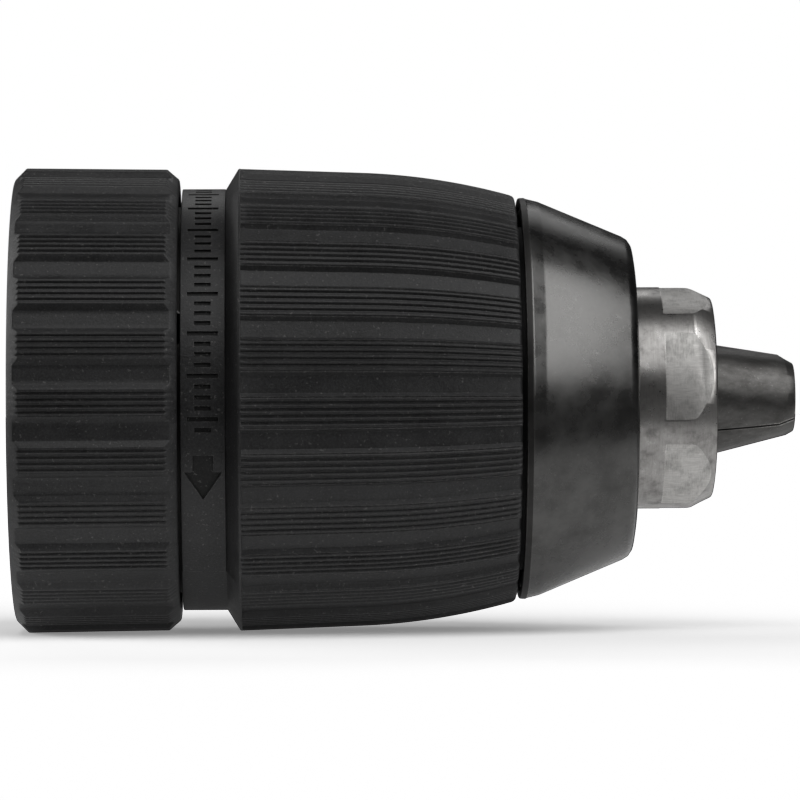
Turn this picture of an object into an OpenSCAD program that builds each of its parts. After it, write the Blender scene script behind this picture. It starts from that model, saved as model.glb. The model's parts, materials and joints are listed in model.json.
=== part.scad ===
// Two-sleeve keyless drill chuck, 13 mm capacity.
// The chuck axis is +X with the nose towards +X; the origin is the centre of the spindle
// thread's mouth on the rear face. Angles round the axis start at -Y and grow towards -Z.

/* [Overall] */
// Length with the jaws closed, rear face to jaw tips
closed_length = 72.2; // [71:0.1:74]
// Outside radius over the ribbed pads of the holding ring
ring_r = 21.55; // [21.2:0.05:22]
// Outside radius over the ribbed pads at the rear of the clamping sleeve
sleeve_r = 21.46; // [21.2:0.02:21.8]

/* [Grip] */
// Smooth flutes round the ring and round the sleeve, with a ribbed pad between each two
flute_count = 26; // [18:1:30]
// Width of one of the ring's flutes, in degrees of turn
ring_flute = 6.4; // [4:0.2:8]
// Width of one of the sleeve's flutes, in degrees of turn
sleeve_flute = 5.6; // [4:0.2:8]
// Depth of a flute
flute_depth = 0.5; // [0.3:0.1:0.8]
// Turn of the ring's first pad centre
ring_pad_turn = 0.7; // [0:0.1:13]
// Turn of the sleeve's first pad centre
sleeve_pad_turn = 3.3; // [0:0.1:13]

/* [Spindle end] */
// Radius of the 1/2 inch spindle thread
spindle_r = 6.35; // [6:0.05:6.4]
// Depth of the spindle thread
spindle_depth = 16; // [14:0.5:17]
// Radius of the clearance hole for the left-hand lock screw
lock_hole_r = 3.2; // [2.8:0.1:3.6]
// Radius of the body's tail, inside the holding ring
tail_r = 13.5; // [13:0.1:14]

/* [Nose] */
// Radius of the shank bore
shank_r = 6.7; // [6.6:0.05:6.9]
// Radius of the body's nose
nose_r = 10.3; // [10:0.1:10.6]
// Width across the six spanner flats
nose_flats = 18.9; // [18.6:0.1:19]
// Turn of the first flat
flat_turn = -12; // [-30:1:30]

/* [Jaws] */
// Turn of the first jaw
jaw_turn = -21; // [-60:1:60]
// Angle between a jaw and the chuck axis
jaw_angle = 14.5; // [14:0.5:15]
// Radius of a jaw
jaw_r = 4.5; // [4.3:0.1:4.6]
// Where the jaws' axes cross the chuck axis
jaw_apex = 67.1; // [67:0.1:68]
// Pitch of the jaw teeth, along the jaw
tooth_pitch = 2.117; // [2:0.001:2.5]

/* [Bearing] */
// Balls in the thrust bearing
ball_count = 24; // [12:1:28]
// Radius of a ball
ball_r = 1.15; // [1:0.05:1.2]
// Radius of the circle of ball centres
ball_circle = 16.25; // [16.2:0.01:16.3]

/* [Hidden] */
$fn = 96;
TURN = 360;
JAWS = 3;
HALF_TURN = 180;
run_gap = 0.05;
fit_gap = 0.02;
// how far cutting solids go past what they cut
over = 1;
far = 60;
flat_count = 6;
wire_fn = 32;

// Holding ring
ring_front = 15.2;
ring_chamfer = 1.1;
ring_nose = 20.45;
ring_draft = 0.15;
ring_wall_x = 2.5;
ring_cavity_r = 18.9;
ring_hub_r = 15.6;
hub_front = 5.9;
key_count = 6;
key_from = 1.5;
key_width = 2;
key_depth = 0.6;
key_top_r = 15.1;

// Rear circlip
clip_from = 0.5;
clip_to = 1.3;
clip_inner = 12.75;
clip_outer = 14.8;
clip_recess = 15.3;
clip_turn = 90;
clip_gap = 40;
lug_turn = 28;
lug_r = 0.55;

// Body along the axis
flange_from = 6;
flange_r = 17.9;
shoulder_x = 31;
neck_r = 14.8;
groove_from = 34.9;
groove_to = 41.5;
groove_r = 10.2;
front_r = 12;
front_to = 50;
web_to = 22;
hex_from = 59.7;
bevel_from = 62.5;
nose_front = 64.5;
nose_bevel_r = 9.25;

// Jaws
jaw_rear = 33.5;
jaw_bevel_r = 12.1;
jaw_bore_r = jaw_r + run_gap;
jaw_bore_rear = 8;
jaw_tip_length = 0.7;
jaw_tip_drop = 0.35;
jaw_tip_round = 0.15;
tooth_from = 2.2;
tooth_count = 13;
tooth_depth = 0.9;
tooth_land = 0.4;
slope = tan(jaw_angle);
jaw_back = (jaw_apex - jaw_rear) / cos(jaw_angle);
jaw_length = (closed_length - jaw_rear) / cos(jaw_angle) + jaw_r;
jaw_bore_back = (jaw_apex - jaw_bore_rear) / cos(jaw_angle);
jaw_bore_front = 20;

// Thrust bearing
race_inner = 14.9;
race_outer = 17.5;
ball_x = 33;
washer_to = ball_x - ball_r - fit_gap;
race_from = ball_x + ball_r + fit_gap;
race_to = 35;
cage_half = 0.6;
ball_fn = 24;

// Nut, with the sides that face the jaws parallel to them
nut_from = 35;
nut_to = 41;
nut_r = 16;
nut_jaw_gap = 0.06;
split_gap = 0.04;
band_r = 17.6;
band_to = 41.95;
band_lip_from = 41.05;
band_lip_r = 12.3;
drive_key_count = 4;
drive_key_width = 3;
drive_key_depth = 0.8;
drive_key_root = 0.5;

// Clamping sleeve
band_from = 15.44;
band_outer = 19.53;
chamfer_from = 19.53;
chamfer_to = 20.7;
rim_to = 20.9;
sleeve_straight_to = 32;
sleeve_front = 46.2;
sleeve_taper = 2;
sleeve_arc_r = 60;
sleeve_arc_steps = 6;
sleeve_bore = 18.3;
sleeve_edge = 0.45;
bush_r = 16.55;
strip_depth = 0.6;
strip_start = -95;
strip_end = 53;
arrow_depth = 0.25;
arrow_start = 14.8;
arrow_head_start = 19.4;
arrow_tip = 27.3;
arrow_shaft_half = 0.93;
arrow_head_half = 1.77;

// Front bearing parts
bush_from = 42.9;
bush_to = 48.2;
bush_step_x = 46.2;
bush_step_r = 15.95;
spring_in = 12.5;
spring_out = 15.9;
spring_thick = 0.45;
seal_x = 47.3;
seal_r = 17.22;
seal_wire = 0.65;

// Nose cover
cover_from = 46.6;
cover_rim_r = 18.65;
cover_rim_to = 47.2;
cover_shoulder_x = 48.4;
cover_cone_r = 18.32;
cover_cone_end = 15.06;
cover_cone_to = 56.19;
cover_front = 57.05;
cover_round = 1.4;
cover_round_steps = 4;
cover_rear_edge = 0.2;
cover_hollow = [[47.2, 13.2], [47.2, 16.55], [49.4, 16.15], [54.3, 13.45], [55.3, 13.2]];
wire_x = 53.4;
wire_r = 0.5;
wire_gap = 24;

// Radius of the line that a jaw of radius r touches furthest out, at a place x
function jaw_reach(x, r) = (jaw_apex - x) * slope + r / cos(jaw_angle);

// Radius over the sleeve's pads at a place x: a straight draft, then one long arc
function sleeve_top(x) =
    x <= sleeve_straight_to
        ? sleeve_r - (x - chamfer_to) * tan(sleeve_taper)
        : sleeve_top(sleeve_straight_to) + sleeve_arc_r * (
            cos(sleeve_taper + arc_turn(x)) - cos(sleeve_taper));
function arc_turn(x) =
    asin(sin(sleeve_taper) + (x - sleeve_straight_to) / sleeve_arc_r) - sleeve_taper;

// Turns a profile of [x, radius] points about the chuck axis
module turned(points) {
    rotate([0, 90, 0])
        rotate_extrude()
            polygon([for (p = points) [p[1], p[0]]]);
}

// A plain ring between two places and two radii
module ring(from, to, inner, outer) {
    turned([[from, inner], [to, inner], [to, outer], [from, outer]]);
}

// A solid round bar along the chuck axis
module bar(from, to, r) {
    translate([from, 0, 0])
        rotate([0, 90, 0])
            cylinder(h = to - from, r = r);
}

// A wedge of space from one turn to another, over a stretch of the axis
module wedge(from, to, start, end) {
    steps = 8;
    outline = concat([[0, 0]], [
        for (i = [0 : steps])
            let (a = start + (end - start) * i / steps) [-cos(a) * far, -sin(a) * far]
    ]);
    translate([from, 0, 0])
        rotate([90, 0, 90])
            linear_extrude(height = to - from)
                polygon(outline);
}

// All the flutes' sectors, as one star-shaped prism
module flute_sectors(from, to, first_pad, width) {
    pitch = TURN / flute_count;
    core = 2;
    outline = [
        for (i = [0 : flute_count - 1])
            let (a = first_pad + pitch * (i + 0.5), w = width / 2)
                each [
                    [-cos(a - w) * far, -sin(a - w) * far],
                    [-cos(a + w) * far, -sin(a + w) * far],
                    [-cos(a + pitch / 2) * core, -sin(a + pitch / 2) * core]
                ]
    ];
    translate([from, 0, 0])
        rotate([90, 0, 90])
            linear_extrude(height = to - from)
                polygon(outline);
}

// Moves its children from the apex, pointing back, onto a jaw's axis
module on_jaw_axis(i) {
    rotate([jaw_turn + i * TURN / JAWS, 0, 0])
        translate([jaw_apex, 0, 0])
            rotate([0, 0, jaw_angle])
                children();
}

// The bore that a jaw slides in
module jaw_bore(i) {
    on_jaw_axis(i)
        bar(-jaw_bore_back, jaw_bore_front, jaw_bore_r);
}

// Keys between the body's tail and the holding ring
module tail_keys(width, depth_r) {
    for (i = [0 : key_count - 1])
        rotate([i * TURN / key_count, 0, 0])
            translate([key_from, depth_r, -width / 2])
                cube([hub_front - key_from, key_top_r - depth_r, width]);
}

module chuck_body() {
    color("dimgray")
    difference() {
        turned([
            [0, 0], [0, tail_r - 0.5], [0.5, tail_r], [flange_from, tail_r],
            [flange_from, flange_r - 0.6], [flange_from + 0.6, flange_r],
            [shoulder_x, flange_r], [shoulder_x, neck_r], [groove_from, neck_r],
            [groove_from, groove_r], [groove_to, groove_r], [groove_to, front_r],
            [front_to, front_r], [front_to, nose_r], [bevel_from, nose_r],
            [nose_front, nose_bevel_r], [nose_front, 0]
        ]);
        bar(-over, spindle_depth, spindle_r);
        bar(spindle_depth - over, web_to + over, lock_hole_r);
        bar(web_to, nose_front + over, shank_r);
        for (i = [0 : JAWS - 1])
            jaw_bore(i);
        spanner_cut();
        tail_keys(key_width + run_gap, tail_r - key_depth - run_gap);
        ring(clip_from - run_gap, clip_to + run_gap, clip_inner - run_gap, clip_recess);
        snap_wire_track(wire_r);
    }
}

// What the six spanner flats take off the nose
module spanner_cut() {
    corner = HALF_TURN / flat_count;
    difference() {
        ring(hex_from, nose_front + over, nose_r - 2 * over, nose_r + over);
        translate([hex_from - over, 0, 0])
            rotate([flat_turn + corner, 0, 0])
                rotate([0, 90, 0])
                    rotate([0, 0, 90])
                        cylinder(h = far, r = nose_flats / 2 / cos(corner), $fn = flat_count);
    }
}

// The round track that the cover's snap wire sits in
module snap_wire_track(r) {
    translate([wire_x, 0, 0])
        rotate([0, 90, 0])
            rotate_extrude()
                translate([nose_r, 0])
                    circle(r = r, $fn = wire_fn);
}

module rear_ring() {
    color([0.09, 0.09, 0.09])
    difference() {
        union() {
            turned([
                [0, clip_recess], [clip_to + run_gap, clip_recess],
                [clip_to + run_gap, tail_r + fit_gap], [hub_front, tail_r + fit_gap],
                [hub_front, ring_hub_r], [ring_wall_x, ring_hub_r],
                [ring_wall_x, ring_cavity_r], [ring_front, ring_cavity_r],
                [ring_front, ring_nose], [ring_front - ring_chamfer, ring_r - ring_draft],
                [ring_chamfer, ring_r], [0, ring_r - ring_chamfer]
            ]);
            tail_keys(key_width, tail_r - key_depth);
        }
        ring(-over, clip_to + run_gap, 0, clip_recess);
        intersection() {
            flute_sectors(-over, ring_front + over, ring_pad_turn, ring_flute);
            ring(-over, ring_front + over, ring_r - ring_draft / 2 - flute_depth, ring_r + over);
        }
    }
}

module rear_snap_ring() {
    color("darkgray")
    difference() {
        ring(clip_from, clip_to, clip_inner, clip_outer);
        wedge(-over, clip_to + over, clip_turn - clip_gap / 2, clip_turn + clip_gap / 2);
        for (side = [-1, 1])
            rotate([clip_turn + side * lug_turn, 0, 0])
                translate([0, -(clip_inner + clip_outer) / 2, 0])
                    bar(-over, clip_to + over, lug_r);
    }
}

module thrust_washer() {
    color("silver")
        ring(shoulder_x, washer_to, race_inner, race_outer);
}

// Runs its children once for each ball, at the ball's place
module at_balls() {
    for (i = [0 : ball_count - 1])
        rotate([i * TURN / ball_count, 0, 0])
            translate([ball_x, -ball_circle, 0])
                children();
}

module ball_cage() {
    color("goldenrod")
    difference() {
        ring(ball_x - cage_half, ball_x + cage_half, race_inner + 0.05, race_outer);
        at_balls()
            rotate([0, 90, 0])
                cylinder(h = 4 * cage_half, r = ball_r + run_gap, center = true, $fn = ball_fn);
    }
}

module bearing_balls() {
    color("gainsboro")
        at_balls()
            sphere(r = ball_r, $fn = ball_fn);
}

module nut_race() {
    color("silver")
        ring(race_from, race_to, race_inner, race_outer);
}

// One half of the split nut; side is 1 or -1
module nut_half(side) {
    color("darkslategray")
    difference() {
        turned([
            [nut_from, jaw_reach(nut_from, jaw_r) + nut_jaw_gap],
            [nut_to, jaw_reach(nut_to, jaw_r) + nut_jaw_gap],
            [nut_to, nut_r], [nut_from, nut_r]
        ]);
        translate([nut_from - over, side > 0 ? -far : -split_gap, -far / 2])
            cube([nut_to - nut_from + 2 * over, far + split_gap, far]);
    }
}

module nut_half_a() {
    nut_half(1);
}

module nut_half_b() {
    nut_half(-1);
}

// Keys by which the sleeve turns the nut's band
module drive_keys(width, depth_r) {
    for (i = [0 : drive_key_count - 1])
        rotate([i * TURN / drive_key_count, 0, 0])
            translate([nut_from, depth_r, -width / 2])
                cube([band_to - nut_from, band_r - depth_r + drive_key_root, width]);
}

module nut_band() {
    color("slategray")
    difference() {
        turned([
            [nut_from, nut_r], [band_lip_from, nut_r], [band_lip_from, band_lip_r],
            [band_to, band_lip_r], [band_to, band_r], [nut_from, band_r]
        ]);
        drive_keys(drive_key_width + run_gap, band_r - drive_key_depth - run_gap);
    }
}

// The sleeve's outline from its first straight stretch to its nose, lowered by drop
function sleeve_outline(drop) = concat(
    [
        for (i = [0 : sleeve_arc_steps])
            let (x = sleeve_straight_to
                + (sleeve_front - sleeve_edge - sleeve_straight_to) * i / sleeve_arc_steps)
                [x, sleeve_top(x) - drop]
    ],
    [[sleeve_front, sleeve_top(sleeve_front) - sleeve_edge - drop]]
);

module clamping_sleeve() {
    color([0.09, 0.09, 0.09])
    union() {
        difference() {
            turned(concat(
                [
                    [band_from, sleeve_bore], [band_from, band_outer],
                    [chamfer_from, band_outer], [chamfer_to, sleeve_r]
                ],
                sleeve_outline(0),
                [
                    [sleeve_front, bush_r + run_gap], [band_to, bush_r + run_gap],
                    [band_to, band_r], [nut_from, band_r], [nut_from, sleeve_bore]
                ]
            ));
            strip_pocket(0);
            intersection() {
                flute_sectors(chamfer_from, sleeve_front + over, sleeve_pad_turn, sleeve_flute);
                turned(concat(
                    [[rim_to, sleeve_top(rim_to) - flute_depth]],
                    sleeve_outline(flute_depth),
                    [
                        [sleeve_front + over, sleeve_top(sleeve_front) - over],
                        [sleeve_front + over, sleeve_r + over], [rim_to, sleeve_r + over]
                    ]
                ));
            }
        }
        drive_keys(drive_key_width, band_r - drive_key_depth);
    }
}

// The space of the inlaid marking strip, smaller all round by gap
module strip_pocket(gap) {
    edge = gap / band_outer * TURN / 6;
    intersection() {
        ring(band_from + gap, chamfer_from - gap, band_outer - strip_depth + gap, band_outer);
        wedge(band_from - over, chamfer_from, strip_start + edge, strip_end - edge);
    }
}

module marking_strip() {
    middle = (band_from + chamfer_from) / 2;
    color([0.1, 0.1, 0.1])
    difference() {
        strip_pocket(run_gap);
        // direction arrow, sunk into the strip
        intersection() {
            ring(band_from, chamfer_from, band_outer - arrow_depth, band_outer + over);
            union() {
                wedge(
                    middle - arrow_shaft_half, middle + arrow_shaft_half,
                    arrow_start, arrow_head_start
                );
                arrow_head(middle);
            }
        }
    }
}

// The arrow's triangular head, from its base to its tip
module arrow_head(middle) {
    size = band_outer * sin(arrow_tip - arrow_head_start);
    rotate([arrow_head_start, 0, 0])
        translate([middle, 0, 0])
            rotate([90, 0, 0])
                linear_extrude(height = far)
                    polygon([[-arrow_head_half, 0], [arrow_head_half, 0], [0, -size]]);
}

module disc_spring() {
    color("lightslategray")
        turned([
            [band_to + run_gap, spring_in], [band_to + run_gap + spring_thick, spring_in],
            [bush_from - run_gap, spring_out],
            [bush_from - run_gap - spring_thick, spring_out]
        ]);
}

module guide_bush() {
    color([0.05, 0.05, 0.05])
        turned([
            [bush_from, front_r + fit_gap], [bush_to, front_r + fit_gap],
            [bush_to, bush_step_r], [bush_step_x, bush_step_r], [bush_step_x, bush_r],
            [bush_from, bush_r]
        ]);
}

module dust_seal() {
    color("black")
        translate([seal_x, 0, 0])
            rotate([0, 90, 0])
                rotate_extrude()
                    translate([seal_r, 0])
                        circle(r = seal_wire, $fn = wire_fn);
}

module nose_cover() {
    cone = atan((cover_cone_r - cover_cone_end) / (cover_cone_to - cover_shoulder_x));
    color([0.16, 0.16, 0.17])
    difference() {
        turned(concat(
            [
                [cover_from, seal_r + seal_wire + run_gap],
                [cover_from, cover_rim_r - cover_rear_edge],
                [cover_from + cover_rear_edge, cover_rim_r], [cover_rim_to, cover_rim_r],
                [cover_shoulder_x, cover_cone_r]
            ],
            [
                for (i = [0 : cover_round_steps])
                    let (a = (90 - cone) * (1 - i / cover_round_steps))
                        [
                            cover_front - cover_round + cover_round * cos(a),
                            cover_cone_end - cover_round * cos(cone) + cover_round * sin(a)
                        ]
            ],
            [
                [cover_front, nose_r + fit_gap], [front_to + run_gap, nose_r + fit_gap],
                [front_to + run_gap, front_r + fit_gap], [bush_to, front_r + fit_gap],
                [bush_to, seal_r + seal_wire + run_gap]
            ]
        ));
        turned(cover_hollow);
        snap_wire_track(wire_r + fit_gap);
    }
}

module cover_snap_ring() {
    color("silver")
    difference() {
        snap_wire_track(wire_r - fit_gap);
        wedge(wire_x - over, wire_x + over, -wire_gap / 2, wire_gap / 2);
    }
}

// One jaw: a round bar cut by its two gripping faces, its flat tip and its rear bevel
module jaw(i) {
    turn = jaw_turn + i * TURN / JAWS;
    half = HALF_TURN / JAWS;
    behind = jaw_rear - 5 * over;
    color([0.2, 0.2, 0.21])
    difference() {
        intersection() {
            on_jaw_axis(i)
                bar(-jaw_back, jaw_length - jaw_back, jaw_r);
            rotate([turn, 0, 0])
                translate([0, -fit_gap, 0])
                    wedge(behind, closed_length, -half, half);
            jaw_nose(behind);
        }
        on_jaw_axis(i)
            teeth();
        rotate([turn, 0, 0])
            translate([behind, -far, -far / 2])
                cube([far / 3, far - jaw_bevel_r, far]);
    }
}

// The ground front outline that trims a jaw's tip
module jaw_nose(behind) {
    tip_r = jaw_reach(closed_length, jaw_r) - jaw_tip_drop;
    turned([
        [behind, 0], [behind, far / 3], [nose_front, far / 3],
        [closed_length - jaw_tip_length, jaw_reach(closed_length - jaw_tip_length, jaw_r)],
        [closed_length - jaw_tip_round, tip_r], [closed_length, tip_r - jaw_tip_round],
        [closed_length, 0]
    ]);
}

// Saw teeth across the jaw's outer side, seen along the jaw
module teeth() {
    translate([tooth_from - jaw_back, -jaw_r, -jaw_r])
        linear_extrude(height = 2 * jaw_r)
            polygon(concat(
                [[0, -over]],
                [
                    for (k = [0 : tooth_count - 1])
                        each [
                            [k * tooth_pitch + tooth_land, 0],
                            [(k + 0.5) * tooth_pitch, tooth_depth],
                            [(k + 1) * tooth_pitch - tooth_land, 0]
                        ]
                ],
                [[tooth_count * tooth_pitch, -over]]
            ));
}

module jaw_1() {
    jaw(0);
}

module jaw_2() {
    jaw(1);
}

module jaw_3() {
    jaw(2);
}

chuck_body();
rear_ring();
rear_snap_ring();
thrust_washer();
ball_cage();
bearing_balls();
nut_race();
nut_half_a();
nut_half_b();
nut_band();
clamping_sleeve();
marking_strip();
disc_spring();
guide_bush();
dust_seal();
nose_cover();
cover_snap_ring();
jaw_1();
jaw_2();
jaw_3();
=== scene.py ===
"""Looks of a two-sleeve keyless drill chuck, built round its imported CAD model.

The chuck axis is +X and the nose points to +X. Sizes are in millimetres until a mesh is made.
A turn is an angle round the axis, in degrees, from -Y (the side the camera sees) towards -Z.
"""
import json
import math

import bmesh
import bpy
import numpy as np
from mathutils import Matrix, Quaternion, Vector

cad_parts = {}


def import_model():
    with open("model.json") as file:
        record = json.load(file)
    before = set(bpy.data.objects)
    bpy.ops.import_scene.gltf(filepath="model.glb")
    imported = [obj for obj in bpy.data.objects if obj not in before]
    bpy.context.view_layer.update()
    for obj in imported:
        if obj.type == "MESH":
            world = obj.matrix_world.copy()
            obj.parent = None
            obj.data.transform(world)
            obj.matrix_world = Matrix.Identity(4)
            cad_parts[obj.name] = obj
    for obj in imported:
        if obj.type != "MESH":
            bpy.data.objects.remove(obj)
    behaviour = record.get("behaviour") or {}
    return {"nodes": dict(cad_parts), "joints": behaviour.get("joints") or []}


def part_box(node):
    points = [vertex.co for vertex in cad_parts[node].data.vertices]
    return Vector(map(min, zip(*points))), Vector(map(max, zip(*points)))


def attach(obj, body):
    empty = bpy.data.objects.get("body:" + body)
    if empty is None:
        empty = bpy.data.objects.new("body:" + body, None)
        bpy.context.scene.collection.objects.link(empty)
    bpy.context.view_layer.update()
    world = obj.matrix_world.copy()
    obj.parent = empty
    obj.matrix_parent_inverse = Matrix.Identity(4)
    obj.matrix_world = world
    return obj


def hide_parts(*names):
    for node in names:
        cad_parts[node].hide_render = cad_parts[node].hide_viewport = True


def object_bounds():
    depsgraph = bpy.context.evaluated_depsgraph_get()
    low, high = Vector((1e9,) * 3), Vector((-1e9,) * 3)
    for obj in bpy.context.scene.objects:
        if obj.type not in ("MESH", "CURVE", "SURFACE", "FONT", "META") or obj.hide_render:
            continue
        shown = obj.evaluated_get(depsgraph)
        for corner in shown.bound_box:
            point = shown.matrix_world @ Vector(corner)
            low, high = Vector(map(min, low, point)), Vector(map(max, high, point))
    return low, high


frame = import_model()
cad_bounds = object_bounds()
middle = (cad_bounds[0] + cad_bounds[1]) / 2

MM = 0.001
TURN = 360.0
FLUTES = 26
PITCH = TURN / FLUTES
SHARP = math.radians(32)


# ---------------------------------------------------------------- sizes from the frame
def span(node):
    """A node's first and last place along the axis and its largest radius, in millimetres."""
    low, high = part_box(node)
    return low.x / MM, high.x / MM, max(high.y, high.z) / MM


ring_rear, ring_front, ring_r = span("rear_ring")
sleeve_rear, sleeve_front, sleeve_r = span("clamping_sleeve")
cover_rear, cover_front, cover_r = span("nose_cover")
_, body_front, _ = span("chuck_body")
_, jaw_tip, _ = span("jaw_1")
joints = {j["name"]: j for j in frame["joints"]}
jaw_axes = [Vector(joints[f"jaw_{i}_slide"]["axis"]) for i in (1, 2, 3)]
jaw_slope = math.asin(math.hypot(jaw_axes[0].y, jaw_axes[0].z))
jaw_turns = [math.degrees(math.atan2(a.z, a.y)) + 180 for a in jaw_axes]

JAW_APEX = 67.1
JAW_R = 4.5
NOSE_R = 10.3
NOSE_FLATS = 18.9
FLAT_TURN = -12.0
NOSE_FROM = 50.0
SHANK_R = 6.7
SPINDLE_R, SPINDLE_DEPTH = 6.35, 16.0
THREAD_MINOR_R, THREAD_PITCH = 5.72, 1.27
LOCK_HOLE_R = 3.2
JAWS, FLATS = 3, 6
RIM_TO = 47.2


# ---------------------------------------------------------------- meshes
def point(x, r, turn):
    """The place at x along the axis, r from it, at a turn in degrees."""
    a = math.radians(turn)
    return x, -r * math.cos(a), -r * math.sin(a)


def finish_mesh(name, mesh, body, node):
    """Makes an object of a mesh in millimetres, riding on a body and standing for a CAD node."""
    mesh.transform(Matrix.Scale(MM, 4))
    piece = bpy.data.objects.new(name, mesh)
    bpy.context.scene.collection.objects.link(piece)
    mesh.shade_smooth()
    mesh.set_sharp_from_angle(angle=SHARP)
    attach(piece, body)
    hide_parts(node)
    return piece


def grid_mesh(name, x, r, turns):
    """A closed skin from arrays of places and radii, one row per column of turns, both ways round."""
    columns, rows = x.shape
    a = np.radians(turns)
    if a.ndim == 1:
        a = np.repeat(a[:, None], rows, 1)
    points = np.stack([x, -r * np.cos(a), -r * np.sin(a)], axis=2).reshape(-1, 3)
    i, j = np.meshgrid(np.arange(columns), np.arange(rows), indexing="ij")
    i2, j2 = (i + 1) % columns, (j + 1) % rows
    faces = np.stack(
        [i * rows + j, i * rows + j2, i2 * rows + j2, i2 * rows + j], axis=2
    ).reshape(-1, 4)
    mesh = bpy.data.meshes.new(name)
    mesh.from_pydata(points.tolist(), [], faces.tolist())
    outward(mesh)
    return mesh


def outward(mesh):
    """Turns a closed mesh's faces outwards."""
    work = bmesh.new()
    work.from_mesh(mesh)
    if work.calc_volume(signed=True) < 0:
        bmesh.ops.reverse_faces(work, faces=work.faces)
    work.to_mesh(mesh)
    work.free()


def solid_mesh(name, work):
    """The closed mesh of a finished bmesh, with its faces outwards."""
    bmesh.ops.recalc_face_normals(work, faces=work.faces)
    mesh = bpy.data.meshes.new(name)
    work.to_mesh(mesh)
    work.free()
    outward(mesh)
    return mesh


def close_between(work, base, top):
    """Two matching rings of corners, capped and joined by side faces."""
    work.faces.new(base)
    work.faces.new(top[::-1])
    for i in range(len(base)):
        n = (i + 1) % len(base)
        work.faces.new([base[i], top[i], top[n], base[n]])


def lathe_mesh(name, outline, steps=240):
    """A closed outline of (x, r) points turned about the axis."""
    x = np.tile([p[0] for p in outline], (steps, 1))
    r = np.tile([p[1] for p in outline], (steps, 1))
    return grid_mesh(name, x, r, np.arange(steps) * TURN / steps)


def prism_mesh(name, outline, low, high):
    """A closed outline of (x, y) points raised from z = low to z = high."""
    work = bmesh.new()
    base = [work.verts.new((x, y, low)) for x, y in outline]
    top = [work.verts.new((x, y, high)) for x, y in outline]
    close_between(work, base, top)
    return solid_mesh(name, work)


def cut(mesh, cutters, operation="DIFFERENCE"):
    """A mesh after a boolean with each cutter in turn; the cutters are used up."""
    piece = bpy.data.objects.new("cut_work", mesh)
    bpy.context.scene.collection.objects.link(piece)
    for cutter in cutters:
        tool = bpy.data.objects.new("cut_tool", cutter)
        bpy.context.scene.collection.objects.link(tool)
        step = piece.modifiers.new("cut", "BOOLEAN")
        step.operation, step.solver, step.object = operation, "MANIFOLD", tool
        bpy.context.view_layer.update()
        result = bpy.data.meshes.new_from_object(
            piece.evaluated_get(bpy.context.evaluated_depsgraph_get())
        )
        piece.modifiers.clear()
        piece.data = result
        bpy.data.objects.remove(tool)
        bpy.data.meshes.remove(cutter)
    result = piece.data
    bpy.data.objects.remove(piece)
    return result


def fillet(corner, before, after, size, steps=3):
    """Points that round a corner of an outline, size back from it on both sides."""
    c, b, a = (np.array(p, float) for p in (corner, before, after))
    start = c + (b - c) / np.linalg.norm(b - c) * size
    end = c + (a - c) / np.linalg.norm(a - c) * size
    points = []
    for i in range(steps + 1):
        t = i / steps
        points.append(tuple((1 - t) ** 2 * start + 2 * t * (1 - t) * c + t * t * end))
    return points


def rounded(outline, sizes):
    """A closed outline with each corner rounded by its size, where that isn't 0."""
    points = []
    count = len(outline)
    for i, corner in enumerate(outline):
        size = sizes[i]
        if size:
            points += fillet(corner, outline[i - 1], outline[(i + 1) % count], size)
        else:
            points.append(corner)
    return points


# ---------------------------------------------------------------- ribbed grips
def pad_columns(rib_pitch, rib_width, groove_depth, wall_from, wall_to, flute_depth, edge_rib):
    """(offset from the pad's centre, depth) across half a pad and half a flute, in degrees and mm."""
    half = rib_width / 2
    bevel = rib_width * 0.22
    columns = [(0.0, 0.0)]
    for k in range(3):
        centre = k * rib_pitch
        if k:
            columns += [(centre - half, 0.05), (centre - half + bevel, 0.0)]
        columns += [(centre + half - bevel, 0.0), (centre + half, 0.05)]
        if k < 2:
            middle = centre + rib_pitch / 2
            floor = (rib_pitch - rib_width) * 0.18
            columns += [(middle - floor, groove_depth), (middle + floor, groove_depth)]
    if edge_rib:
        last = 2 * rib_pitch + half
        columns += [(last + (wall_from - last) * 0.4, groove_depth * 0.55)]
    columns += [
        (wall_from, 0.05 if edge_rib else 0.07),
        (wall_from + (wall_to - wall_from) * 0.12, 0.1),
        (wall_from + (wall_to - wall_from) * 0.82, flute_depth - 0.06),
        (wall_to, flute_depth - 0.01),
        (wall_to + (PITCH / 2 - wall_to) * 0.5, flute_depth),
    ]
    return columns


def grip_columns(half_columns, first_pad):
    """All the columns round the grip: turns in degrees, and the depth at each."""
    one = [(-a, d) for a, d in half_columns[:0:-1]] + half_columns
    one.append((PITCH / 2, half_columns[-1][1]))
    turns, depths = [], []
    for k in range(FLUTES):
        for offset, depth in one:
            turns.append(first_pad + k * PITCH + offset)
            depths.append(depth)
    return np.array(turns), np.array(depths)


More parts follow.
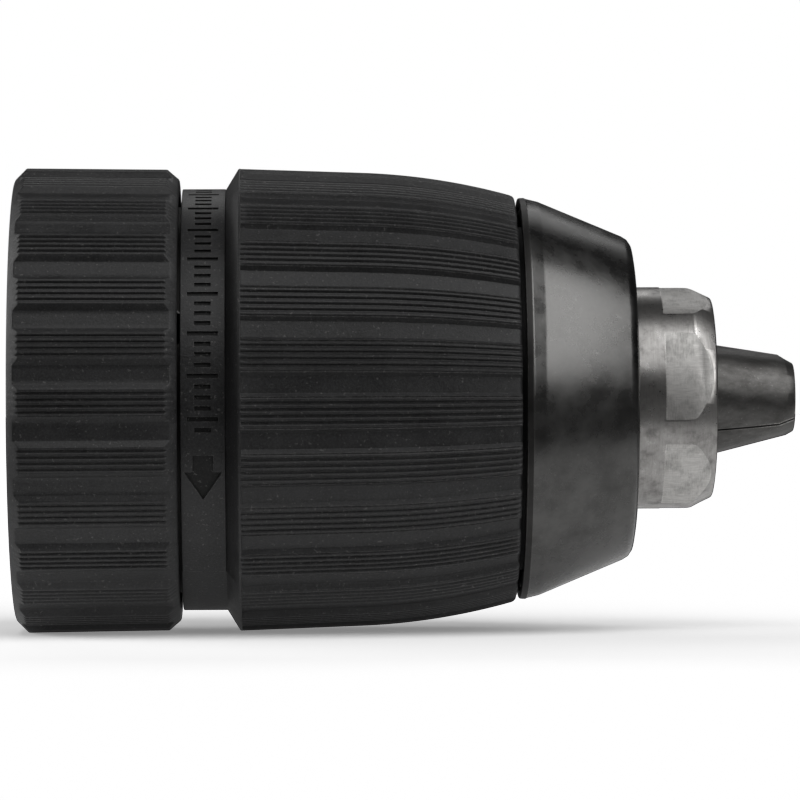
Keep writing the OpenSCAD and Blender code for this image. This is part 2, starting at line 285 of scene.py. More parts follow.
def rear_ring():
    """The holding ring: ribbed pads between flutes that cut through both chamfers."""
    turns, depths = grip_columns(
        pad_columns(1.52, 0.74, 0.2, 3.5, 4.7, 0.5, False), first_pad=0.7
    )
    chamfer, draft = 1.1, 0.15
    top_rear, top_front = ring_r, ring_r - draft
    nose_r = ring_r - chamfer
    cavity, hub, tail, recess = 18.9, 15.6, 13.52, 15.3
    wall_x, hub_x, clip_x = 2.5, 5.9, 1.35
    x_rows, r_rows = [], []
    for depth in depths:
        rear_top = (ring_rear + chamfer - depth, top_rear - depth)
        front_top = (ring_front - chamfer + depth, top_front - depth)
        grip = []
        for i in range(7):
            t = i / 6
            grip.append(
                (
                    rear_top[0] + (front_top[0] - rear_top[0]) * (0.02 + 0.96 * t),
                    rear_top[1] + (front_top[1] - rear_top[1]) * t,
                )
            )
        rear_corner = (ring_rear, nose_r)
        front_corner = (ring_front, nose_r)
        outline = [(ring_rear, recess + 0.2)]
        outline += fillet(rear_corner, (ring_rear, recess), rear_top, 0.22)
        outline += fillet(rear_top, rear_corner, front_top, 0.1)
        outline += grip[1:-1]
        outline += fillet(front_top, rear_top, front_corner, 0.1)
        outline += fillet(front_corner, front_top, (ring_front, cavity), 0.18)
        outline += [
            (ring_front, cavity), (wall_x, cavity), (wall_x, hub), (hub_x, hub),
            (hub_x, tail), (clip_x, tail), (clip_x, recess), (ring_rear + 0.15, recess),
        ]
        x_rows.append([p[0] for p in outline])
        r_rows.append([p[1] for p in outline])
    mesh = grid_mesh("rear_ring", np.array(x_rows), np.array(r_rows), turns)
    return finish_mesh("holding_ring", mesh, "body", "rear_ring")


def sleeve_top(x):
    """Radius over the sleeve's pads: a straight draft, then one long arc."""
    start, taper, straight_to, arc_r = 20.7, math.radians(2), 32.0, 60.0
    if x <= straight_to:
        return sleeve_r - (x - start) * math.tan(taper)
    turn = math.asin(math.sin(taper) + (x - straight_to) / arc_r)
    return sleeve_top(straight_to) + arc_r * (math.cos(turn) - math.cos(taper))


def clamping_sleeve():
    """The turning sleeve: a plain band, a chamfered rear rim, then ribbed pads between flutes."""
    turns, depths = grip_columns(
        pad_columns(1.6, 0.7, 0.21, 3.98, 4.85, 0.46, True), first_pad=3.3
    )
    ends = [end + side for end in (STRIP_START + TURN, STRIP_END) for side in (-0.03, 0.03)]
    extra = np.interp(ends, turns, depths)
    order = np.argsort(np.concatenate([turns, ends]))
    turns, depths = (np.concatenate(p)[order] for p in ((turns, ends), (depths, extra)))
    band_r, band_front, rim, pocket = 19.53, 19.53, 20.7, 18.9
    edge, bush, bore, drive = 0.45, 16.6, 18.3, 17.6
    drive_from, drive_to = 35.0, 41.95
    grip_from, grip_to, rows = rim + 0.22, sleeve_front - edge, 34
    x_rows, r_rows = [], []
    for turn, depth in zip(turns, depths):
        inlaid = turn < STRIP_END or turn > STRIP_START + TURN
        low = pocket if inlaid else band_r
        rear_corner, band_corner = (sleeve_rear, low), (band_front, band_r)
        rim_corner = (rim, sleeve_r)
        outline = [(sleeve_rear, bore)]
        outline += fillet(rear_corner, (sleeve_rear, bore), (band_front, low), 0.12)
        outline += [(sleeve_rear + 1.4, low), (band_front - 1.4, low)]
        outline += [(band_front - 0.02, low), (band_front - 0.01, (low + band_r) / 2), band_corner]
        outline += fillet(rim_corner, band_corner, (rim + 1, sleeve_top(rim + 1)), 0.12)
        outline += [(rim + 0.16, sleeve_top(rim + 0.16)),
                    (grip_from, sleeve_top(grip_from) - depth * 0.8)]
        for i in range(1, rows):
            x = grip_from + (grip_to - grip_from) * i / rows
            outline.append((x, sleeve_top(x) - depth))
        for i in range(4):
            a = math.radians(15 + i * 25)
            x = grip_to - edge * 0.2 + edge * 1.2 * math.sin(a)
            drop = depth + edge * (1 - math.cos(a))
            outline.append((min(x, sleeve_front), sleeve_top(grip_to) - drop))
        outline += [
            (sleeve_front, bush + 0.4), (sleeve_front - 0.25, bush), (drive_to, bush),
            (drive_to, drive), (drive_from, drive), (drive_from, bore),
        ]
        x_rows.append([p[0] for p in outline])
        r_rows.append([p[1] for p in outline])
    mesh = grid_mesh("clamping_sleeve", np.array(x_rows), np.array(r_rows), turns)
    return finish_mesh("grip_sleeve", mesh, "sleeve", "clamping_sleeve")


# ---------------------------------------------------------------- marking strip
STRIP_START, STRIP_END = -95.0, 53.0


def marking_strip():
    """The inlaid strip in the sleeve's band, with a sunk arrow and a row of plain bars, their sunk
    floors painted darker as shade.
    """
    front, rear = 19.50, sleeve_rear + 0.05
    outer, inner, depth = 19.56, 18.98, 0.22
    count = 148
    corner = rounded(
        [(rear, inner), (rear, outer), (front, outer), (front, inner)], [0, 0.1, 0.06, 0]
    )
    work = bmesh.new()
    loops = []
    for i in range(count + 1):
        turn = STRIP_START + 0.15 + (STRIP_END - STRIP_START - 0.3) * i / count
        loops.append([work.verts.new(point(x, r, turn)) for x, r in corner])
    for one, two in zip(loops, loops[1:]):
        for k in range(len(corner)):
            n = (k + 1) % len(corner)
            work.faces.new([one[k], one[n], two[n], two[k]])
    work.faces.new(loops[0])
    work.faces.new(loops[-1][::-1])
    mesh = solid_mesh("marking_strip", work)
    mesh = cut(mesh, marking_cutters((rear + front) / 2, outer, depth))
    # Sunk floors of the marks take the second, darker plastic. This is painted shade in the recesses.
    for face in mesh.polygons:
        r = math.hypot(face.center.y, face.center.z)
        sunk = inner + 0.05 < r < outer - 0.09
        face.material_index = int(sunk and rear + 0.2 < face.center.x < front - 0.2)
    return finish_mesh("arrow_strip", mesh, "sleeve", "marking_strip")


def marking_cutters(centre, outer, depth):
    """Cutters for the arrow and the bars: plates bent round the band."""
    floor = outer - depth
    shaft_half, head_half = 0.93, 1.72
    cutters = [
        bent_plate([(centre - shaft_half, 14.8), (centre + shaft_half, 14.8),
                    (centre + shaft_half, 19.4), (centre + head_half, 19.4), (centre, 27.3),
                    (centre - head_half, 19.4), (centre - shaft_half, 19.4)], floor)
    ]
    bars, first, last = 34, -86.0, 8.0
    for i in range(bars):
        turn = first + (last - first) * i / (bars - 1)
        half = 1.4 if i % 4 == 0 else 0.75
        cutters.append(
            bent_plate([(centre - half, turn - 0.62), (centre + half, turn - 0.62),
                        (centre + half, turn + 0.62), (centre - half, turn + 0.62)], floor)
        )
    return cutters


def bent_plate(outline, floor):
    """A plate over an outline of (x, turn) points, from the floor radius outwards."""
    work = bmesh.new()
    base = [work.verts.new(point(x, floor, turn)) for x, turn in outline]
    top = [work.verts.new(point(x, floor + 2, turn)) for x, turn in outline]
    close_between(work, base, top)
    return solid_mesh("plate", work)


# ---------------------------------------------------------------- nose cover
def nose_cover():
    """The steel cone over the bearing, with its rear rim, short taper and rolled front corner."""
    inner, bush, front_r, hub = 17.92, 16.6, 12.02, 10.32
    shoulder, ledge = 48.2, 50.05
    outline = [
        (cover_rear, inner), (cover_rear, cover_r - 0.02), (47.14, cover_r),
        (47.28, cover_r - 0.08), (48.4, 18.3), (cover_front, 14.69), (cover_front, hub),
        (ledge, hub), (ledge, front_r), (shoulder, front_r), (shoulder, inner),
    ]
    sizes = [0, 0.14, 0.06, 0.06, 0.15, 0.93, 0.12, 0, 0, 0, 0]
    mesh = lathe_mesh("nose_cover", rounded(outline, sizes), steps=360)
    # The rim and its rear face take the darker gap steel. This is painted shade in the gap between
    # sleeve and cover.
    for face in mesh.polygons:
        face.material_index = int(face.center.x < RIM_TO)
    return finish_mesh("nose_cone", mesh, "body", "nose_cover")


# ---------------------------------------------------------------- body and jaws
def jaw_cylinder(i, rear, front, r, steps=160):
    """A round bar on a jaw's axis, between two distances from where the axes cross."""
    slide = jaw_axes[i]
    turn = jaw_turns[i]
    across = Vector(point(0, 1, turn + 90))
    up = slide.cross(across).normalized()
    apex = Vector((JAW_APEX, 0, 0))
    work = bmesh.new()
    ends = []
    for distance in (rear, front):
        centre = apex + slide * distance
        ends.append([
            work.verts.new(centre + r * (math.cos(a) * across + math.sin(a) * up))
            for a in (2 * math.pi * k / steps for k in range(steps))
        ])
    work.faces.new(ends[0])
    work.faces.new(ends[1][::-1])
    for k in range(steps):
        n = (k + 1) % steps
        work.faces.new([ends[0][k], ends[0][n], ends[1][n], ends[1][k]])
    return solid_mesh("bar", work)


def turned_about_axis(mesh, turn):
    """The mesh, turned about the chuck axis."""
    mesh.transform(Matrix.Rotation(math.radians(turn), 4, "X"))
    return mesh


def spindle_thread_rows(mouth, depth, major, minor, pitch, columns):
    """Rows of a helical internal thread, from its inner end to its mouth: places and radii."""
    per_turn = 8
    count = int(depth / pitch * per_turn)
    x_rows = np.linspace(mouth + depth, mouth + 0.9, count)
    phase = (x_rows[None, :] / pitch - np.arange(columns)[:, None] / columns) % 1.0
    ridge = np.clip(1.25 - 2.5 * np.abs(phase - 0.5), 0, 1)
    fade = np.clip((mouth + depth - x_rows) / pitch, 0, 1)[None, :]
    r = major - (major - minor) * ridge * fade
    return np.tile(x_rows, (columns, 1)), r


def chuck_body():
    """The steel body: spindle thread, flange, groove and a nose with six spanner flats."""
    columns = 288
    outer = [
        (0.0, 6.9), (0.0, 13.0), (0.5, 13.5), (6.0, 13.5), (6.0, 17.3), (6.6, 17.9),
        (31.0, 17.9), (31.0, 14.8), (34.9, 14.8), (34.9, 10.2), (41.5, 10.2), (41.5, 12.0),
        (50.0, 12.0), (50.0, NOSE_R), (56.9, NOSE_R), (59.5, NOSE_R), (61.5, NOSE_R),
    ]
    bevel_start, bevel_end = (62.45, NOSE_R - 0.02), (body_front, 9.25)
    outer += fillet(bevel_start, (60, NOSE_R), bevel_end, 0.3)
    outer += [(63.4, 9.78)]
    outer += fillet(bevel_end, bevel_start, (body_front, SHANK_R), 0.16)
    bore = [(body_front, SHANK_R + 0.35), (body_front - 0.35, SHANK_R), (22.0, SHANK_R),
            (22.0, LOCK_HOLE_R), (SPINDLE_DEPTH, LOCK_HOLE_R), (SPINDLE_DEPTH, SPINDLE_R)]
    x_thread, r_thread = spindle_thread_rows(0.0, SPINDLE_DEPTH, SPINDLE_R, THREAD_MINOR_R,
                                             THREAD_PITCH, columns)
    plain = outer + bore
    x = np.hstack([np.tile([p[0] for p in plain], (columns, 1)), x_thread])
    r = np.hstack([np.tile([p[1] for p in plain], (columns, 1)), r_thread])
    mesh = grid_mesh("chuck_body", x, r, np.arange(columns) * TURN / columns)
    rear = (JAW_APEX - 8.0) / math.cos(jaw_slope)
    cutters = [jaw_cylinder(i, rear, -18.0, JAW_R + 0.05) for i in range(JAWS)]
    cutters += [flat_cutter(FLAT_TURN + TURN / FLATS * k) for k in range(FLATS)]
    mesh = cut(mesh, cutters)
    # Faces behind the nose, inside the sleeve and ring, take the darker gap steel. This painted shade
    # keeps the gaps between the parts dark.
    for face in mesh.polygons:
        across = face.center.y * face.normal.y + face.center.z * face.normal.z
        flat = abs(face.normal.x) < 0.01 and abs(across - NOSE_FLATS / 2) < 0.01
        face.material_index = 2 if face.center.x < NOSE_FROM else int(flat)
    return finish_mesh("steel_body", mesh, "body", "chuck_body")


def flat_cutter(turn):
    """The block that a spanner flat takes off the nose, at a turn."""
    half, depth, start = 12.0, 4.0, 59.7
    low = -NOSE_FLATS / 2
    outline = [(start, low), (body_front + 1, low), (body_front + 1, low - depth), (start, low - depth)]
    return turned_about_axis(prism_mesh("flat", outline, -half, half), turn)


def jaw(i):
    """One jaw: a round bar with two gripping faces, a ground tip, cross teeth and a rear bevel."""
    turn = jaw_turns[i]
    rear_x, bevel_r = 33.5, 12.1
    rear = (JAW_APEX - rear_x) / math.cos(jaw_slope)
    bar = jaw_cylinder(i, rear, -9.0, JAW_R, steps=192)
    reach = 40.0
    apex_gap = 0.1
    half_angle = math.radians(60)
    sector = [(0.0, 0.0)]
    sector += [
        (-reach * math.cos(a), -reach * math.sin(a))
        for a in (-half_angle, -half_angle / 2, 0.0, half_angle / 2, half_angle)
    ]
    wedge = prism_mesh("wedge", [(y - apex_gap, z) for y, z in sector], rear_x - 5, jaw_tip + 1)
    # the prism stands along Z: its outline becomes (y, z) and its height runs along X
    wedge.transform(Matrix(((0, 0, 1, 0), (1, 0, 0, 0), (0, 1, 0, 0), (0, 0, 0, 1))))
    turned_about_axis(wedge, turn)
    mesh = cut(bar, [wedge, tip_lathe()], "INTERSECT")
    bevel = prism_mesh(
        "bevel",
        [(rear_x - 6, -bevel_r), (rear_x + 12, -bevel_r), (rear_x + 12, -30), (rear_x - 6, -30)],
        -20, 20,
    )
    mesh = cut(mesh, [turned_about_axis(bevel, turn), jaw_teeth(i, rear)])
    return finish_mesh(f"clamp_jaw_{i + 1}", mesh, f"jaw_{i + 1}", f"jaw_{i + 1}")


def tip_lathe():
    """The ground front of the three jaws together: a shallow cone with a rounded edge."""
    front = jaw_tip
    edge = JAW_R / math.cos(jaw_slope) - (front - 0.7 - JAW_APEX) * math.tan(jaw_slope)
    outline = [(front - 45, 0.001), (front - 45, 20.0), (front - 8, 20.0), (front - 8, 8.0),
               (front - 0.7, edge + 0.02)]
    outline += fillet((front, edge - 0.36), (front - 0.7, edge), (front, 0), 0.12, steps=4)
    outline += [(front, 0.001)]
    return lathe_mesh("tip", outline, steps=192)


def jaw_teeth(i, rear):
    """Cross grooves on the jaw's outer side, as one saw-tooth cutter."""
    pitch, depth, first, count = 2.117, 0.9, 2.2, 13
    outline = [(0.0, -1.5)]
    for k in range(count):
        start = k * pitch
        outline += [(start + 0.4, 0.0), (start + pitch / 2, depth), (start + pitch - 0.4, 0.0)]
    outline.append((count * pitch, -1.5))
    teeth = prism_mesh("teeth", [(x, y - JAW_R) for x, y in outline], -JAW_R, JAW_R)
    shift = Matrix.Translation((first - rear, 0, 0))
    lean = Matrix.Rotation(jaw_slope, 4, "Z")
    place = Matrix.Translation((JAW_APEX, 0, 0))
    teeth.transform(place @ lean @ shift)
    return turned_about_axis(teeth, jaw_turns[i])


# ---------------------------------------------------------------- materials
class Shader:
    """A node material, built by adding nodes and linking them by socket name."""

    def __init__(self, name, **values):
        self.material = bpy.data.materials.new(name)
        self.material.use_nodes = True
        self.tree = self.material.node_tree
        self.surface = self.tree.nodes["Principled BSDF"]
        for socket, value in values.items():
            self.surface.inputs[socket.replace("_", " ")].default_value = value
        coordinates = self.tree.nodes.new("ShaderNodeTexCoord")
        self.place = coordinates.outputs["Object"]

    def node(self, kind, links=None, **settings):
        made = self.tree.nodes.new("ShaderNode" + kind)
        for key, value in settings.items():
            setattr(made, key, value)
        for socket, source in (links or {}).items():
            target = made.inputs[socket]
            if isinstance(source, bpy.types.NodeSocket):
                self.tree.links.new(source, target)
            else:
                target.default_value = source
        return made

    def noise(self, scale, detail=3.0, roughness=0.5, place=None):
        return self.node(
            "TexNoise",
            {"Vector": place or self.place, "Scale": scale, "Detail": detail, "Roughness": roughness},
        ).outputs["Fac"]

    def stretched(self, scale):
        """Object coordinates scaled by (x, y, z)."""
        return self.node("Mapping", {"Vector": self.place, "Scale": scale}).outputs["Vector"]

    def ramp(self, source, stops):
        """A colour ramp over (place, value or colour) stops."""
        made = self.node("ValToRGB", {"Fac": source})
        ramp = made.color_ramp
        while len(ramp.elements) < len(stops):
            ramp.elements.new(0.5)
        for element, (place, value) in zip(ramp.elements, stops):
            element.position = place
            element.color = (*value, 1) if isinstance(value, tuple) else (value, value, value, 1)
        return made.outputs["Color"]

    def math(self, operation, a, b=0.0, clamp=False):
        made = self.node("Math", {0: a, 1: b}, operation=operation, use_clamp=clamp)
        return made.outputs[0]

    def mix(self, factor, a, b):
        made = self.node("Mix", data_type="RGBA")
        for socket, source in ((made.inputs[0], factor), (made.inputs[6], a), (made.inputs[7], b)):
            if isinstance(source, bpy.types.NodeSocket):
                self.tree.links.new(source, socket)
            else:
                socket.default_value = (*source, 1) if isinstance(source, tuple) else source
        return made.outputs[2]

    def connect(self, source, socket):
        self.tree.links.new(source, self.surface.inputs[socket])

    def bump(self, height, strength, distance, normal=None):
        links = {"Height": height, "Strength": strength, "Distance": distance}
        if normal:
            links["Normal"] = normal
        return self.node("Bump", links).outputs["Normal"]

    def edges(self, radius, low, high):
        """1 on convex and concave edges, 0 on open surfaces: how far a bevel turns the normal."""
        bevel = self.node("Bevel", {"Radius": radius}, samples=6).outputs["Normal"]
        plain = self.node("NewGeometry").outputs["Normal"]
        dot = self.node("VectorMath", {0: bevel, 1: plain}, operation="DOT_PRODUCT").outputs["Value"]
        return self.ramp(dot, [(low, 1.0), (high, 0.0)])


def moulded_plastic(name, base, roughness, wear=1.0, specular=0.5):
    """Black glass-filled plastic: dusty satin grain, specks, and pale edges here and there that are
    part wear and part painted highlight.
    """
    shader = Shader(name, Specular_IOR_Level=specular)
    grain = shader.noise(5200.0, 4.0, 0.7)
    flow = shader.noise(300.0, 6.0, 0.7)
    tint = shader.mix(shader.ramp(flow, [(0.3, 0.0), (0.7, 1.0)]), tuple(c * 0.6 for c in base),
                      tuple(c * 1.4 for c in base))
    tint = shader.mix(shader.ramp(grain, [(0.42, 0.0), (0.7, 0.5)]), tint, tuple(c * 3.0 for c in base))
    specks = shader.ramp(shader.noise(3400.0, 2.0), [(0.65, 0.0), (0.72, 0.4)])
    tint = shader.mix(specks, tint, (0.2, 0.195, 0.19))
    # Pale patches on the edges: part wear, part a painted highlight on the rib edges.
    wear_and_glint_patches = shader.ramp(shader.noise(2600.0, 3.0, 0.7), [(0.42, 0.05), (0.62, wear)])
    wear_and_painted_edge_highlight = shader.math("MULTIPLY", shader.edges(0.00009, 0.8, 0.97), wear_and_glint_patches)
    tint = shader.mix(shader.math("MULTIPLY", wear_and_painted_edge_highlight, 0.65), tint, (0.22, 0.215, 0.21))
    shader.connect(tint, "Base Color")
    shader.connect(shader.ramp(flow, [(0.25, roughness - 0.06), (0.75, roughness + 0.1)]), "Roughness")
    shader.connect(shader.bump(grain, 0.8, 0.00004), "Normal")
    return shader.material


def black_steel(name, base, roughness):
    """Black-oxidised steel, burnished: soft smudges, fine turned lines and small scuffs; a darker copy
    paints shade in the gaps between parts.
    """
    shader = Shader(name, Metallic=1.0)
    smudge = shader.noise(320.0, 6.0, 0.66)
    lines = shader.noise(1.0, 3.0, 0.6, shader.stretched((22000.0, 500.0, 500.0)))
    scuff = shader.ramp(shader.noise(2100.0, 4.0, 0.75), [(0.6, 0.0), (0.7, 1.0)])
    tone = shader.mix(shader.ramp(smudge, [(0.34, 0.0), (0.66, 1.0)]), tuple(c * 0.8 for c in base),
                      tuple(c * 1.25 for c in base))
    tone = shader.mix(shader.math("MULTIPLY", scuff, 0.3), tone, tuple(c * 2.0 for c in base))
    # Paler patches on the edges: part wear, part a painted highlight.
    wear_and_glint_patches = shader.ramp(shader.noise(1500.0, 3.0, 0.7), [(0.4, 0.1), (0.65, 0.9)])
    wear_and_painted_edge_highlight = shader.math("MULTIPLY", shader.edges(0.00022, 0.85, 0.985), wear_and_glint_patches)
    tone = shader.mix(wear_and_painted_edge_highlight, tone, (0.3, 0.295, 0.29))
    shader.connect(tone, "Base Color")
    shader.connect(shader.ramp(smudge, [(0.3, roughness - 0.05), (0.7, roughness + 0.1)]), "Roughness")
    shader.connect(shader.bump(lines, 0.2, 0.00001), "Normal")
    return shader.material


def worn_steel(name):
    """Turned body steel: dark oxidised smudges, bright edges that are part wear and part painted
    highlight, tool marks and small dark pits.
    """
    shader = Shader(name, Metallic=1.0)
    cloud = shader.noise(650.0, 7.0, 0.7)
    fine = shader.noise(5200.0, 4.0, 0.7)
    marks = shader.noise(1.0, 3.0, 0.6, shader.stretched((9000.0, 700.0, 700.0)))
    tone = shader.ramp(cloud, [(0.3, (0.2, 0.195, 0.19)), (0.46, (0.36, 0.35, 0.34)),
                               (0.7, (0.48, 0.47, 0.46))])
    tone = shader.mix(shader.ramp(marks, [(0.4, 0.0), (0.75, 0.35)]), tone, (0.2, 0.195, 0.19))
    # Bright patches on the edges: part wear, part a painted highlight along the edges.
    wear_and_glint_patches = shader.ramp(fine, [(0.32, 0.2), (0.6, 1.0)])
    wear_and_painted_edge_highlight = shader.math("MULTIPLY", shader.edges(0.00016, 0.86, 0.985), wear_and_glint_patches)
    tone = shader.mix(wear_and_painted_edge_highlight, tone, (0.75, 0.74, 0.72))
    pits = shader.ramp(shader.noise(1900.0, 1.0), [(0.2, 1.0), (0.23, 0.0)])
    tone = shader.mix(pits, tone, (0.01, 0.01, 0.01))
    shader.connect(tone, "Base Color")
    shader.connect(shader.ramp(cloud, [(0.3, 0.38), (0.7, 0.24)]), "Roughness")
    height = shader.math("MULTIPLY_ADD", marks, 0.6)
    shader.tree.links.new(fine, height.node.inputs[2])
    normal = shader.bump(height, 0.25, 0.00002)
    shader.connect(shader.bump(pits, -0.6, 0.00008, normal), "Normal")
    return shader.material


def milled_steel(name):
    """The spanner flats: bare steel with fine milled lines, scratches and faint stains."""
    shader = Shader(name, Metallic=1.0)
    cloud = shader.noise(480.0, 6.0, 0.68)
    across = shader.noise(1.0, 4.0, 0.7, shader.stretched((9000.0, 1100.0, 1100.0)))
    along = shader.noise(1.0, 4.0, 0.7, shader.stretched((900.0, 7000.0, 7000.0)))
    lines = shader.mix(shader.ramp(cloud, [(0.46, 0.15), (0.56, 0.85)]), across, along)
    tone = shader.ramp(lines, [(0.25, (0.4, 0.39, 0.38)), (0.75, (0.72, 0.71, 0.69))])
    stain = shader.ramp(cloud, [(0.34, 0.45), (0.52, 0.0)])
    tone = shader.mix(stain, tone, (0.13, 0.127, 0.122))
    # Bright patches on the edges of the flats: part wear, part a painted highlight.
    wear_and_glint_patches = shader.ramp(shader.noise(4200.0, 3.0, 0.7), [(0.35, 0.3), (0.6, 1.0)])
    wear_and_painted_edge_highlight = shader.math("MULTIPLY", shader.edges(0.00018, 0.86, 0.985), wear_and_glint_patches)
    shader.connect(shader.mix(wear_and_painted_edge_highlight, tone, (0.85, 0.84, 0.82)), "Base Color")
    shader.connect(shader.ramp(lines, [(0.3, 0.52), (0.7, 0.4)]), "Roughness")
    shader.connect(shader.bump(lines, 0.35, 0.00002), "Normal")
    return shader.material


def jaw_steel(name):
    """Hardened jaw steel: dark ground finish with lengthwise smudges, and bright tip edges that are
    part wear and part painted highlight.
    """
    shader = Shader(name, Metallic=1.0)
    smudge = shader.noise(1.0, 5.0, 0.65, shader.stretched((420.0, 900.0, 900.0)))
    fine = shader.noise(6500.0, 4.0, 0.7)
    tone = shader.ramp(smudge, [(0.32, (0.06, 0.058, 0.056)), (0.7, (0.13, 0.128, 0.124))])
    specks = shader.ramp(shader.noise(4200.0, 3.0, 0.7), [(0.62, 0.0), (0.7, 1.0)])
    tone = shader.mix(shader.math("MULTIPLY", specks, 0.3), tone, (0.3, 0.295, 0.29))
    # Bright patches on the edges near the tip: part wear, part a painted highlight along the tip's rim.
    wear_and_glint_patches = shader.ramp(fine, [(0.4, 0.1), (0.62, 1.0)])
    along = shader.node("SeparateXYZ", {"Vector": shader.place}).outputs["X"]
    tip = shader.node("MapRange", {"Value": along, "From Min": (jaw_tip - 4) * MM,
                                   "From Max": (jaw_tip - 1) * MM, "To Min": 0.15}).outputs["Result"]
    wear_and_painted_edge_highlight = shader.math("MULTIPLY", shader.edges(0.00025, 0.95, 0.998), wear_and_glint_patches)
    wear_and_painted_edge_highlight = shader.math("MULTIPLY", wear_and_painted_edge_highlight, tip)
    shader.connect(shader.mix(wear_and_painted_edge_highlight, tone, (0.6, 0.59, 0.57)), "Base Color")
    shader.connect(shader.ramp(fine, [(0.3, 0.34), (0.7, 0.5)]), "Roughness")
    shader.connect(shader.bump(fine, 0.3, 0.00001), "Normal")
    return shader.material


def plain_metal(name, base, roughness):
    """Bright hidden steel or brass with fine grinding lines."""
    shader = Shader(name, Metallic=1.0)
    lines = shader.noise(1.0, 2.0, 0.5, shader.stretched((900.0, 9000.0, 9000.0)))
    dark, pale = tuple(c * 0.85 for c in base), tuple(min(c * 1.1, 1) for c in base)
    shader.connect(shader.mix(lines, dark, pale), "Base Color")
    rough = shader.math("MULTIPLY_ADD", lines, 0.12)
    rough.node.inputs[2].default_value = roughness
    shader.connect(rough, "Roughness")
    shader.connect(shader.bump(lines, 0.1, 0.00001), "Normal")
    return shader.material


def soft_polymer(name, base, roughness):
    """Acetal or rubber: even colour with a faint moulded grain."""
    shader = Shader(name, Specular_IOR_Level=0.45)
    grain = shader.noise(3000.0, 3.0)
    dark, pale = tuple(c * 0.9 for c in base), tuple(c * 1.08 for c in base)
    shader.connect(shader.mix(grain, dark, pale), "Base Color")
    rough = shader.math("MULTIPLY_ADD", grain, 0.1)
    rough.node.inputs[2].default_value = roughness
    shader.connect(rough, "Roughness")
    shader.connect(shader.bump(grain, 0.15, 0.00001), "Normal")
    return shader.material


def paint(piece, material):
    indices = [face.material_index for face in piece.data.polygons]
    piece.data.materials.clear()
    piece.data.materials.append(material)
    piece.data.polygons.foreach_set("material_index", indices)


def paint_node(name, material):
    for slot in frame["nodes"][name].material_slots:
        slot.material = material


# ---------------------------------------------------------------- stage
def floor():
    """A wide pale floor that the chuck lies on, with painted light round it: its colour and a faint
    glow fall off away from the chuck.
    """
    low = cad_bounds[0]
    size = 6.0
    mesh = bpy.data.meshes.new("floor")
    corners = [(-size, -size), (size, -size), (size, size), (-size, size)]
    mesh.from_pydata([(x, y, low.z) for x, y in corners], [], [(0, 1, 2, 3)])
    piece = bpy.data.objects.new("floor", mesh)
    piece.location.x = middle.x
    bpy.context.scene.collection.objects.link(piece)
    shader = Shader("floor_painted_light", Roughness=0.9)
    oval = shader.stretched((5.0, 10.0, 0.0))
    away = shader.node("VectorMath", {0: oval}, operation="LENGTH").outputs["Value"]
    # Painted light: the floor's colour is brightest in an oval round the chuck and falls off away from
    # it.
    painted_light_pool = shader.ramp(away, [(0.36, 1.0), (0.52, 0.1)])
    shader.connect(painted_light_pool, "Base Color")
    # The floor also glows faintly in the same oval. This painted light brightens what the chuck
    # reflects from below.
    shader.connect(painted_light_pool, "Emission Color")
    shader.surface.inputs["Emission Strength"].default_value = 0.16
    paint(piece, shader.material)
    piece.is_shadow_catcher = True


def area_light(name, direction, distance, along, length, width, radiance):
    """A soft box aimed at the chuck's middle: its long side lies along a direction."""
    towards = Vector(direction).normalized()
    side = (Vector(along) - towards * Vector(along).dot(towards)).normalized()
    data = bpy.data.lights.new(name, "AREA")
    data.shape, data.size, data.size_y = "RECTANGLE", length, width
    data.energy = radiance * math.pi * length * width
    light = bpy.data.objects.new(name, data)
    bpy.context.scene.collection.objects.link(light)
    turn = Matrix((side, towards.cross(side), towards)).transposed()
    light.matrix_world = Matrix.Translation(middle + towards * distance) @ turn.to_4x4()
    light.visible_camera = False
    return light


def world():
    """Pale surroundings to look at, dimmer as a light so that the lamps shape the piece."""
    made = bpy.data.worlds.new("studio")
    bpy.context.scene.world = made
    made.use_nodes = True
    nodes, links = made.node_tree.nodes, made.node_tree.links
    seen = nodes["Background"]
    seen.inputs["Color"].default_value = (1, 1, 1, 1)
    seen.inputs["Strength"].default_value = 1.0
    fill = nodes.new("ShaderNodeBackground")
    fill.inputs["Color"].default_value = (1, 1, 1, 1)
    fill.inputs["Strength"].default_value = 0.03
    path = nodes.new("ShaderNodeLightPath")
    mix = nodes.new("ShaderNodeMixShader")
    links.new(path.outputs["Is Camera Ray"], mix.inputs[0])
    links.new(fill.outputs[0], mix.inputs[1])
    links.new(seen.outputs[0], mix.inputs[2])
    links.new(mix.outputs[0], nodes["World Output"].inputs["Surface"])


def camera():
    """The photograph's view: square on to the axis, a long lens, level with it."""
    data = bpy.data.cameras.new("camera")
    data.lens, data.sensor_width = 234.0, 36.0
    data.clip_start, data.clip_end = 0.01, 20.0
    made = bpy.data.objects.new("camera", data)
    bpy.context.scene.collection.objects.link(made)
    made.location = (0.0242, -0.484, 0.0)
    aim = Vector((0.0356, 0.0, -0.00011))
    roll = Quaternion((0, 0, 1), math.radians(-0.25))
    made.rotation_mode = "QUATERNION"
    made.rotation_quaternion = (aim - made.location).to_track_quat("-Z", "Y") @ roll
    bpy.context.scene.camera = made


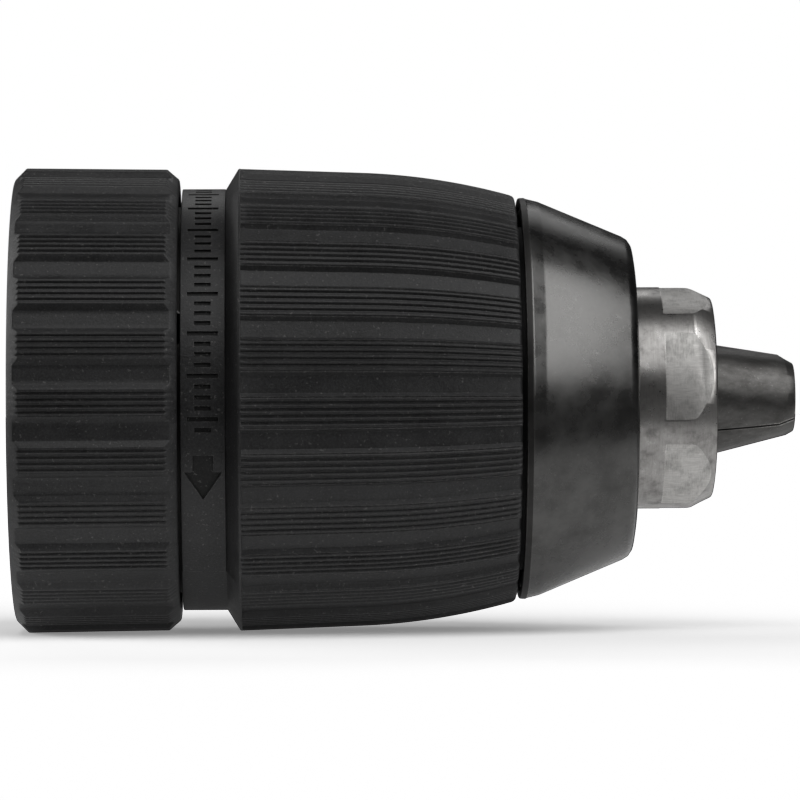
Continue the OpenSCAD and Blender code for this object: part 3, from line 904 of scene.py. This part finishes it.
def lights():
    """Overhead, right, back and rear soft boxes."""
    area_light("overhead", (0, -0.56, 0.83), 1.1, (1, 0, 0), 0.9, 1.0, 1.35)
    area_light("right", (0.66, -0.38, 0.57), 1.1, (-0.2, 0.78, 0.59), 1.3, 0.34, 3.7)
    area_light("back", (0.05, 0.75, 0.65), 1.2, (1, 0, 0), 0.9, 0.4, 1.0)
    area_light("rear", (-0.87, 0.3, 0.25), 1.1, (0, 1, 0), 0.9, 0.8, 2.6)


# ---------------------------------------------------------------- assembly
camera()
world()
lights()
floor()

plastic = moulded_plastic("moulded_plastic", (0.021, 0.021, 0.0215), 0.42, specular=0.38)
strip = moulded_plastic("strip_plastic", (0.018, 0.018, 0.0185), 0.36, specular=0.4)
paint(rear_ring(), plastic)
paint(clamping_sleeve(), plastic)
marks = marking_strip()
paint(marks, strip)
# A darker, matter plastic for the sunk floors: painted shade in the marks.
marks.data.materials.append(moulded_plastic("mark_painted_shade", (0.011, 0.011, 0.011), 0.6, 0.2, 0.3))
cone = nose_cover()
paint(cone, black_steel("black_steel", (0.1, 0.099, 0.097), 0.26))
# A darker, rougher copy of the black steel: painted shade for faces in the gaps between parts.
gap_shade_steel = black_steel("gap_painted_shade_steel", (0.045, 0.044, 0.043), 0.45)
cone.data.materials.append(gap_shade_steel)
steel = chuck_body()
paint(steel, worn_steel("worn_steel"))
steel.data.materials.append(milled_steel("milled_steel"))
steel.data.materials.append(gap_shade_steel)
jaw_finish = jaw_steel("jaw_steel")
for number in range(JAWS):
    paint(jaw(number), jaw_finish)

race = plain_metal("ground_steel", (0.55, 0.55, 0.56), 0.22)
spring = plain_metal("spring_steel", (0.24, 0.235, 0.23), 0.36)
for name in ("thrust_washer", "nut_race"):
    paint_node(name, race)
for name in ("rear_snap_ring", "disc_spring", "cover_snap_ring"):
    paint_node(name, spring)
for name in ("nut_half_a", "nut_half_b"):
    paint_node(name, plain_metal("nut_steel", (0.2, 0.2, 0.21), 0.38))
paint_node("nut_band", plain_metal("band_steel", (0.35, 0.35, 0.36), 0.3))
paint_node("ball_cage", plain_metal("cage_brass", (0.62, 0.45, 0.2), 0.3))
paint_node("bearing_balls", plain_metal("ball_steel", (0.7, 0.7, 0.72), 0.1))
paint_node("guide_bush", soft_polymer("black_acetal", (0.012, 0.012, 0.012), 0.5))
paint_node("dust_seal", soft_polymer("nitrile", (0.03, 0.03, 0.03), 0.6))

bpy.context.scene.view_settings.view_transform = "Standard"
